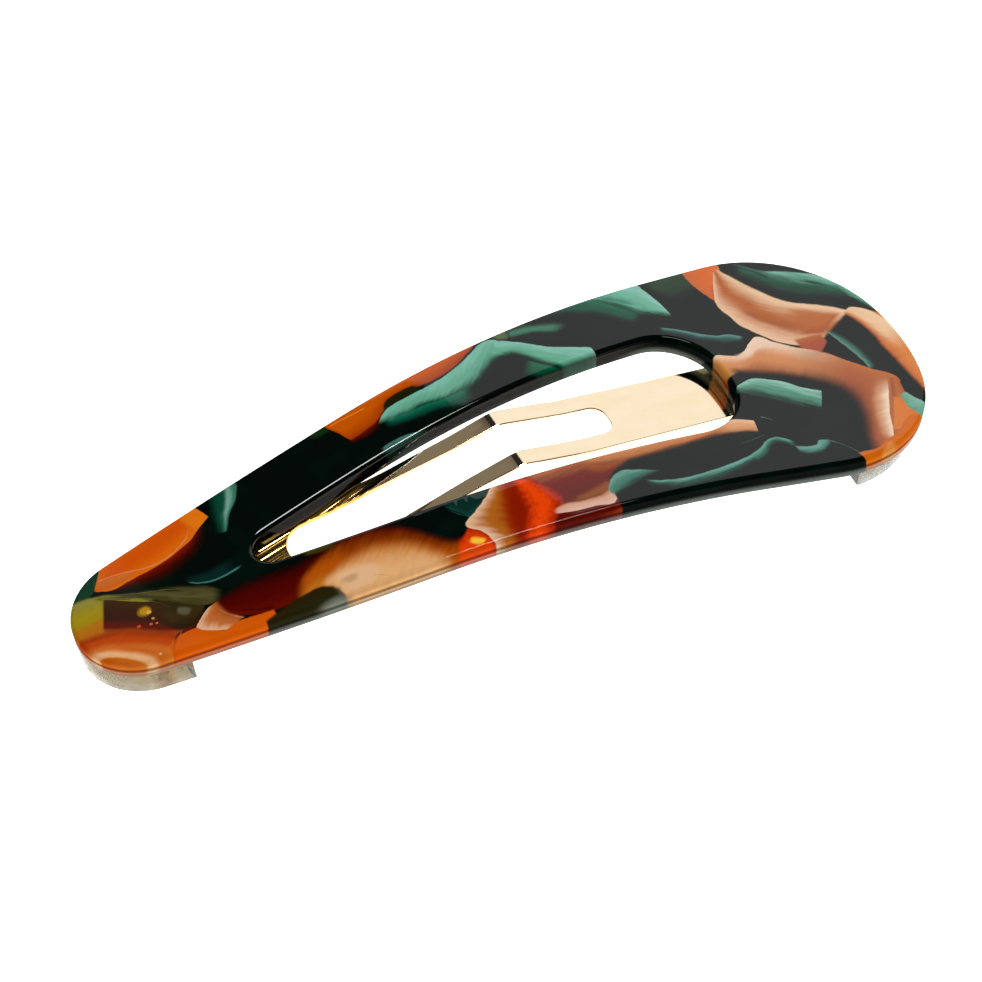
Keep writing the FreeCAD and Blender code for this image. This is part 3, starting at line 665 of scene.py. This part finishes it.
        39.8, -0.6, 41.2, -3), "f2caa0 f0c49a d07c3a", blur=(0.2, 1, 0.02, 0.5), streak=0.3, grain="fall"),
    flake((35.4, 3.3, 36.6, 2, 37.4, 0.2, 37.7, -1.6, 37.8, -3.4), (35.3, 2.7, 35.9, 1, 36.4, -0.8,
        36.7, -2.2, 36.8, -3.6), "0a3a2c 3c7262 6a9a8a", blur=(0.8, 0.15, 0.05, 0.1), streak=0.5,
        cover=0.85),
    flake((31, 2.2, 33.5, 0.4, 35.2, -1.4, 36.8, -3.1, 38.9, -5.4, 38.2, -6.6, 37.5, -7.8, 36.8, -9.2,
        36.2, -11, 35.8, -12.5, 35, -15.4), (30, -1.4, 31.2, -2.8, 32.4, -4.4, 33, -6.2, 33, -8, 32.5, -10,
        31.7, -12, 31, -15.2), "bc6a34 ac5a30 7c3a20", blur=(0.15, 1.6, 0.1, 0.02), streak=0.1,
        grain="rise"),
    flake((22.8, 2, 24.2, 2.5, 25.4, 2, 26.6, 2.2, 27.8, 3.3, 28.8, 3.8, 30, 2.7, 31.5, 1.5, 33, 0.6,
        34.6, -0.8, 36.2, -2.5), (22.4, -1.2, 24.2, -0.4, 26, -1, 28, -1.8, 29.5, -2.6, 31, -3.6, 32.4, -5,
        33.4, -6.5), "efc6a4 d48a54 904a24", blur=(0.15, 1.1, 0.02, 0.5), streak=0.12, grain="rise"),
    flake((25, 2.1, 26.6, 2.3, 27.8, 3.3, 28.8, 3.8, 30, 2.7, 31.4, 1.7), (25.2, 0.7, 26.8, 0.9, 28.2, 1.5,
        29.6, 1.3, 31.2, 0.3), "f2d2ba eecaae d09a74", blur=(0.15, 0.9, 0.3, 0.4), streak=0.3,
        grain="rise"),
    flake((22.6, 1.9, 23.6, 2.1, 24.6, 2.2), (22.4, -1.2, 23.6, -0.8, 24.8, -0.4), "d08a3c",
        blur=(0.3, 0.3, 0.05, 0.5), cover=0.8),
    flake((38.1, -4.6, 37.3, -6.4, 36.4, -8.2, 35.6, -9.9, 35, -11.6, 34.2, -13.4), (36.2, -4.2, 35.4, -5.8,
        34.5, -7.4, 33.8, -9.2, 33.3, -10.8, 32.8, -12.6), "f6dcc0 d8a078 b0602c",
        blur=(0.12, 1.3, 0.3, 0.15)),
    flake((38.9, -5.2, 38.6, -7, 38.2, -8.8), (38.1, -5, 37.4, -6.6, 36.6, -8.4), "a8562c b8652e 9c4c28",
        blur=(0.15, 0.1, 0.05, 0.2)),
    flake((37.8, -7.2, 38.2, -8.8, 38.6, -10.2, 38.8, -11.6), (37, -7.6, 36.2, -9.2, 35.3, -10.8,
        34.2, -12.4), "d86c22 de7828 d87a34", blur=(0.15, 0.2, 0.1, 0.02)),
    flake((30.8, -13.5, 32.4, -13.4, 33.8, -12.6, 35.2, -12, 36.4, -10.9, 37.6, -10.2, 38.6, -10.8),
        (30.4, -16, 34, -16, 39, -12.8), "d06408 dc6c0a c85a08", blur=(0.15, 0.1, 0.02, 0.02), streak=0.6),
    flake((31.6, -14.6, 32.9, -13.5, 34.2, -12.6), (32.6, -15.2, 33.6, -14.4, 34.6, -13.6), "e8a050",
        blur=(0.4, 0.4, 0.3, 0.3), cover=0.6),
    flake((23.3, -2.2, 24.4, -1.7, 25.4, -1.4, 26.8, -1.8, 28.2, -2.6, 29.6, -3.9, 30.9, -4.7), (23.3, -3.2,
        25, -4.2, 26.4, -5.2, 27.8, -6.2, 29, -7, 29.9, -7.8), "92c6b4 4c8c76 062c20",
        blur=(0.15, 1.5, 0.02, 0.015), streak=0.7, grain="fall"),
    flake((38.3, -6.6, 39, -8, 40.6, -9.9), (37.7, -8, 37.8, -9.6, 38.9, -11.6), "8abca8 72aa94 5c9a80",
        blur=(0.2, 0.2, 0.1, 0.05), streak=0.6),
    # inside the wide end of the window
    flake((20.2, 0.6, 21.8, 0.4, 23.4, -0.2), (20.2, -1.2, 21.8, -1.4, 23.4, -1.4), "f06a08 e05a04 c08020",
        blur=(0.2, 0.3, 0.02, 0.02)),
]


def depthCurve(desk, below, points):
    span = acetate["depthSpan"]
    return desk.curve(desk.math("DIVIDE", below, span), [(depth / span, value) for depth, value in points])


def makeAcetate():
    material, desk, shader = newMaterial("layeredAcetate")
    group = makeFlakeGroup()
    raw = inMillimetres(desk)
    wobble = desk.noise(raw, acetate["wobbleScale"], 2.0)["Color"]
    wobble = desk.vector("SUBTRACT", {0: wobble, 1: (0.5, 0.5, 0.5)})
    wobble = desk.vector("SCALE", {0: wobble, "Scale": acetate["wobble"]})
    place = desk.vector("ADD", {0: raw, 1: wobble})
    streaks = {}
    for name, turn, often in acetate["grains"]:
        streaks[name] = desk.noise(desk.mapped(desk.mapped(place, -turn), scale=often), 1.0, 4.0, 0.6)[0]
    cloud = desk.noise(place, acetate["cloudScale"], 2.0)[0]
    color = desk.mix(desk.ramp(cloud, 0.45, 0.7), hexColor(acetate["base"]), hexColor(acetate["cloud"]))
    for layer in acetate["flakes"]:
        color = layFlake(desk, group, place, streaks, color, layer)
    # the wall gets painted shade in bands against its depth, darker on the far window wall, and is glossy
    # near its lower edge
    below = desk.add("ShaderNodeAttribute", attribute_name="depth").outputs["Fac"]
    window = desk.add("ShaderNodeAttribute", attribute_name="window").outputs["Fac"]
    paintedWallShade, gloss = (desk.blend(window, depthCurve(desk, below, acetate[outer]),
                              depthCurve(desk, below, acetate[inner]))
                   for outer, inner in (("paintedWallShade", "paintedWindowShade"), ("gloss", "windowGloss")))
    color = desk.add("ShaderNodeHueSaturation", {"Color": color, "Value": paintedWallShade}).outputs[0]
    # painted pale floor reflection on the lower part of the outer wall, left off the far window wall
    edge = desk.math("MULTIPLY", desk.ramp(below, *acetate["paintedFloorReflectionDepth"]),
                     desk.math("SUBTRACT", 1.0, window))
    color = desk.mix(edge, color, hexColor(acetate["paintedFloorReflection"]), blend="SCREEN")
    waves = desk.noise(raw, acetate["waveScale"], 1.0)[0]
    bump = desk.bump(waves, acetate["waveStrength"], acetate["waveHeight"])
    rough = desk.ramp(streaks["speck"], 0.3, 0.7, acetate["roughness"] * 0.7, acetate["roughness"] * 1.3)
    desk.feed(shader, {"Base Color": color, "Roughness": rough, "IOR": acetate["ior"],
                       "Specular IOR Level": 0.0, "Coat Weight": gloss, "Coat IOR": acetate["ior"],
                       "Coat Roughness": acetate["roughness"], "Normal": bump})
    print("acetate has", len(acetate["flakes"]), "flakes")
    return material


metal = {
    "color": "fdeacb", "shade": "fbe6c3", "paintedGoldSheen": "e6b860", "roughness": 0.06,
    "brushScale": (0.5, 1.2, 1.0), "brushNoise": 0.6, "brushHeight": 0.00001, "brushStrength": 0.04,
    "ribsFrom": -14.0, "ribsTo": -6.0, "ribTurn": 10, "ribScale": (0.03, 2.4, 0.5), "ribHeight": 0.00025,
    "ribRoughness": 0.2,
}


def makeSpringMetal():
    material, desk, shader = newMaterial("springMetal")
    raw = inMillimetres(desk)
    brushed = desk.noise(desk.mapped(raw, scale=metal["brushScale"]), metal["brushNoise"], 3.0)[0]
    # the legs are pressed into fine ribs near the narrow end, are rougher there and get a painted gold
    # sheen in their colour there
    alongX = desk.add("ShaderNodeSeparateXYZ", {0: raw}).outputs[0]
    near = desk.ramp(alongX, metal["ribsFrom"], metal["ribsTo"], 1.0, 0.0)
    turned = desk.mapped(raw, -metal["ribTurn"])
    ribs = desk.noise(desk.mapped(turned, scale=metal["ribScale"]), 1.0, 1.0)[0]
    color = desk.mix(desk.ramp(brushed, 0.3, 0.7), hexColor(metal["color"]), hexColor(metal["shade"]))
    color = desk.mix(near, color, hexColor(metal["paintedGoldSheen"]))
    rough = desk.ramp(brushed, 0.3, 0.75, metal["roughness"] * 0.7, metal["roughness"] * 1.5)
    rough = desk.blend(near, rough, metal["ribRoughness"])
    pressed = desk.bump(desk.math("MULTIPLY", ribs, near), 1.0, metal["ribHeight"])
    bump = desk.bump(brushed, metal["brushStrength"], metal["brushHeight"], Normal=pressed)
    desk.feed(shader, {"Base Color": color, "Metallic": 1.0, "Roughness": rough, "Normal": bump})
    return material


clear = {"color": "c6d8ec", "mottle": "a8b4c0", "mottleScale": 1.3, "roughness": 0.12, "ior": 1.45,
         "bumpStrength": 0.5, "bumpHeight": 0.0001}


def makeClearPad():
    material, desk, shader = newMaterial("clearPad")
    marks = desk.noise(inMillimetres(desk), clear["mottleScale"], 5.0)[0]
    rough = desk.ramp(marks, 0.35, 0.7, clear["roughness"] * 0.5, clear["roughness"] * 2.2)
    bump = desk.bump(marks, clear["bumpStrength"], clear["bumpHeight"])
    tint = desk.mix(desk.ramp(marks, 0.4, 0.65), hexColor(clear["color"]), hexColor(clear["mottle"]))
    desk.feed(shader, {"Base Color": tint, "Transmission Weight": 1.0, "Roughness": rough,
                       "IOR": clear["ior"], "Normal": bump})
    return material


brass = {"color": "d9b45a", "shade": "b98c34", "scale": 4.0, "roughness": (0.2, 0.35)}


def makePinMetal():
    material, desk, shader = newMaterial("pinMetal")
    turned = desk.noise(inMillimetres(desk), brass["scale"], 3.0)[0]
    color = desk.mix(desk.ramp(turned, 0.3, 0.7), hexColor(brass["color"]), hexColor(brass["shade"]))
    rough = desk.ramp(turned, 0.3, 0.7, *brass["roughness"])
    desk.feed(shader, {"Base Color": color, "Metallic": 1.0, "Roughness": rough})
    return material


# the plate, and the sheet and pads under it

bend = {"narrowSlope": 8.373, "angle": 19.4, "radius": 94.5, "narrowRun": 48.0, "wideRun": 37.3,
        "start": (-42.0548, 4.0648)}
platePath = layPath(bend["start"], [bend["narrowSlope"], bend["narrowSlope"] - bend["angle"]],
                    [bend["narrowRun"], bend["wideRun"]], [bend["radius"]])

plate = {
    "outline": {"start": 0.0, "end": 85.0, "tip": 6.5, "shoulder": (72.2, 1.9), "corner": 12.6,
                "side": 630.0},
    "window": {"start": 18.0, "end": 66.1, "tip": 1.85, "shoulder": (60.8, 1.3), "corner": 5.25,
               "side": 375.0},
    "thickness": 1.8, "outlineInset": -0.08, "rims": (0.5, 0.1), "rimSegments": 5, "stationStep": 0.5,
    # the far side of the window: from and to along the plate, its half width at the start and its slope
    "farWall": {"from": 9, "to": 62, "fade": 4, "widthAt": 11, "width": 5, "slope": 0.11},
}


def markWalls(bm):
    # how far each point lies below the face, and whether it is on the far side of the window
    far = plate["farWall"]
    depth = bm.verts.layers.float.new("depth")
    window = bm.verts.layers.float.new("window")
    for vert in bm.verts:
        along, y, z = vert.co
        vert[depth] = -z
        inside = 0 < y < far["width"] + far["slope"] * (along - far["widthAt"])
        if inside and far["from"] < along < far["to"]:
            vert[window] = min(1.0, (far["to"] - along) / far["fade"])


def makePlate(material):
    bm = bmesh.new()
    outer = drawDrop(bm, plate["outline"], plate["outlineInset"])
    inner = drawDrop(bm, plate["window"])
    fillRing(bm, outer + inner)
    thicken(bm, 0.0, -plate["thickness"], plate["rims"], plate["rimSegments"])
    cutStations(bm, platePath, plate["stationStep"])
    markWalls(bm)
    bendAlong(bm, platePath)
    finishPiece(bm, "acetatePlate", material, "clip", "acetate_plate")


sheet = {
    "top": -1.83, "thickness": 0.45, "inset": 1.4, "rims": (0.08, 0.08), "rimSegments": 2,
    "stationStep": 1.0, "sharpAngle": 20,
    "opening": {"start": 12.0, "end": 72.8, "tip": 4.3, "shoulder": (64.6, 1.6), "corner": 6.8,
                "side": 520.0},
    "notch": {"start": 11.6, "halfWidth": 3.5},
}


def makeFrame(material):
    bm = bmesh.new()
    outer = drawDrop(bm, plate["outline"], sheet["inset"])
    inner = drawDrop(bm, sheet["opening"], notch=sheet["notch"])
    fillRing(bm, outer + inner)
    thicken(bm, sheet["top"], sheet["top"] - sheet["thickness"], sheet["rims"], sheet["rimSegments"])
    cutStations(bm, platePath, sheet["stationStep"])
    bendAlong(bm, platePath)
    finishPiece(bm, "springFrame", material, "clip", "spring_frame",
                sheet["sharpAngle"])


tongue = {
    "rootStart": 11.7,
    "edge": [(0.0, 3.2, 0.3), (13.0, 4.35, 6.0), (20.0, 3.6, 30.0), (28.0, 3.55, 30.0), (33.5, 3.75, 20.0),
             (58.3, 3.35, 2.6)],
    "slot": [(9.4, 2.8, 2.6), (27.0, 1.95, 30.0), (42.4, 1.75, 1.3)],
    "runs": [13.87, 18.2, 6.8, 19.5], "slopes": [6.0, 13.0, -13.9, -9.3], "radii": [20.0, 3.0, 20.0],
    "rims": (0.08, 0.08), "rimSegments": 2, "stationStep": 0.25, "sharpAngle": 20,
}


def makeTongue(material):
    bm = bmesh.new()
    outer = drawRounded(bm, tongue["edge"])
    inner = drawRounded(bm, tongue["slot"])
    fillRing(bm, outer + inner)
    thicken(bm, 0.0, -sheet["thickness"], tongue["rims"], tongue["rimSegments"])
    path = layPath(onPath(platePath, tongue["rootStart"], sheet["top"]), tongue["slopes"], tongue["runs"],
                   tongue["radii"])
    cutStations(bm, path, tongue["stationStep"])
    bendAlong(bm, path)
    finishPiece(bm, "springTongue", material, "tongue", "spring_tongue",
                tongue["sharpAngle"])


pads = {"top": -1.82, "thickness": 2.29, "rims": (0.05, 0.22), "rimSegments": 3, "sharpAngle": 35,
        "narrow": {"inset": 0.0, "cut": 8.2, "away": 1}, "wide": {"inset": 0.6, "cut": 73.5, "away": -1}}


def makePad(material, name, node, values):
    bm = bmesh.new()
    loop = drawDrop(bm, plate["outline"], values["inset"])
    bmesh.ops.contextual_create(bm, geom=loop)
    # the pad keeps the part of the plate's outline on one side of a straight cut
    bmesh.ops.bisect_plane(bm, geom=bm.verts[:] + bm.edges[:] + bm.faces[:], dist=hair, clear_outer=True,
                           plane_co=(values["cut"], 0, 0), plane_no=(values["away"], 0, 0))
    thicken(bm, pads["top"], pads["top"] - pads["thickness"], pads["rims"], pads["rimSegments"])
    bendAlong(bm, platePath)
    finishPiece(bm, name, material, "clip", node, pads["sharpAngle"])


acetateMaterial = makeAcetate()
metalMaterial = makeSpringMetal()
clearMaterial = makeClearPad()
makePlate(acetateMaterial)
makeFrame(metalMaterial)
makeTongue(metalMaterial)
makePad(clearMaterial, "narrowPad", "narrow_pad", pads["narrow"])
makePad(clearMaterial, "widePad", "wide_pad", pads["wide"])
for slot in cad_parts["locating_pin"].material_slots:
    slot.material = makePinMetal()
print("pieces and materials done")


# floor, light and camera

studio = {
    "floorSize": 6.0, "floorDrop": 0.0001, "floorGlow": 1.35, "floorColor": "d8d8d8", "floorRoughness": 0.9,
    "aim": (0, 0, 0.006),
    "backdrop": 1.0, "dark": 0.02,
    "key": {"at": (0.09, -0.06, 0.75), "size": (0.16, 0.30), "power": 4.5},
    "softbox": {"azimuth": 40.0, "elevation": 22.0, "distance": 0.9, "size": (1.1, 0.82), "roll": 12.0,
                "power": 2.78},
    "legPanel": {"azimuth": -18.0, "elevation": 50.0, "distance": 0.8, "size": (0.28, 0.4), "roll": 0.0,
                 "power": 0.07, "color": (1.0, 0.9, 0.75)},
}


def makeFloor():
    bm = bmesh.new()
    bmesh.ops.create_grid(bm, x_segments=1, y_segments=1, size=studio["floorSize"] / 2)
    bmesh.ops.translate(bm, verts=bm.verts[:], vec=(0, 0, -studio["floorDrop"]))
    mesh = bpy.data.meshes.new("floor")
    bm.to_mesh(mesh)
    bm.free()
    floor = bpy.data.objects.new("floor", mesh)
    scene.collection.objects.link(floor)
    material, desk, shader = newMaterial("floorPaper")
    desk.feed(shader, {"Base Color": hexColor(studio["floorColor"]), "Roughness": studio["floorRoughness"],
                       "Specular IOR Level": 0.0, "Emission Color": (1, 1, 1, 1),
                       "Emission Strength": studio["floorGlow"]})
    mesh.materials.append(material)


def addLight(name, place, values):
    lamp = bpy.data.lights.new(name, "AREA")
    lamp.shape = "RECTANGLE"
    lamp.size, lamp.size_y = values["size"]
    lamp.energy = values["power"]
    lamp.color = values.get("color", (1, 1, 1))
    light = bpy.data.objects.new(name, lamp)
    scene.collection.objects.link(light)
    aim = (Vector(studio["aim"]) - place).to_track_quat("-Z", "Y").to_matrix().to_4x4()
    roll = Matrix.Rotation(math.radians(values.get("roll", 0.0)), 4, "Z")
    light.matrix_world = Matrix.Translation(place) @ aim @ roll
    light.visible_camera = False


def skyPlace(values):
    # azimuth from straight behind the clip towards its wide end
    a, e = math.radians(values["azimuth"]), math.radians(values["elevation"])
    return Vector((math.sin(a) * math.cos(e), math.cos(a) * math.cos(e), math.sin(e))) * values["distance"]


def makeLights():
    addLight("keyLight", Vector(studio["key"]["at"]), studio["key"])
    for name in ("softbox", "legPanel"):
        addLight(name, skyPlace(studio[name]), studio[name])
    world = bpy.data.worlds.new("studioWorld")
    scene.world = world
    world.use_nodes = True
    world.node_tree.nodes.clear()
    desk = NodeDesk(world.node_tree)
    seen = desk.add("ShaderNodeLightPath").outputs["Is Camera Ray"]
    level = desk.ramp(seen, 0.0, 1.0, studio["dark"], studio["backdrop"], smooth=False)
    sky = desk.add("ShaderNodeBackground", {"Color": (1, 1, 1, 1), "Strength": level})
    out = desk.add("ShaderNodeOutputWorld")
    desk.tree.links.new(sky.outputs[0], out.inputs[0])


# the photo's camera, as it was solved from the clip's outline
view = {"azimuth": -24.2305, "elevation": 46.2509, "roll": -2.3105, "distance": 0.639906, "lens": 254.804,
        "sensor": 36.0, "shift": (-0.006964, 0.023751), "clip": (0.01, 20.0)}


def makeCamera():
    a, e, r = (math.radians(view[key]) for key in ("azimuth", "elevation", "roll"))
    back = Vector((math.sin(a) * math.cos(e), -math.cos(a) * math.cos(e), math.sin(e)))
    level = Vector((math.cos(a), math.sin(a), 0))
    upright = back.cross(level)
    right = level * math.cos(r) + upright * math.sin(r)
    up = back.cross(right)
    data = bpy.data.cameras.new("camera")
    data.sensor_width = view["sensor"]
    data.lens = view["lens"]
    data.shift_x, data.shift_y = view["shift"]
    data.clip_start, data.clip_end = view["clip"]
    camera = bpy.data.objects.new("camera", data)
    scene.collection.objects.link(camera)
    turn = Matrix((right, up, back)).transposed().to_4x4()
    camera.matrix_world = Matrix.Translation(back * view["distance"]) @ turn
    scene.camera = camera


makeFloor()
makeLights()
makeCamera()
scene.view_settings.view_transform = "Standard"
print("studio done")
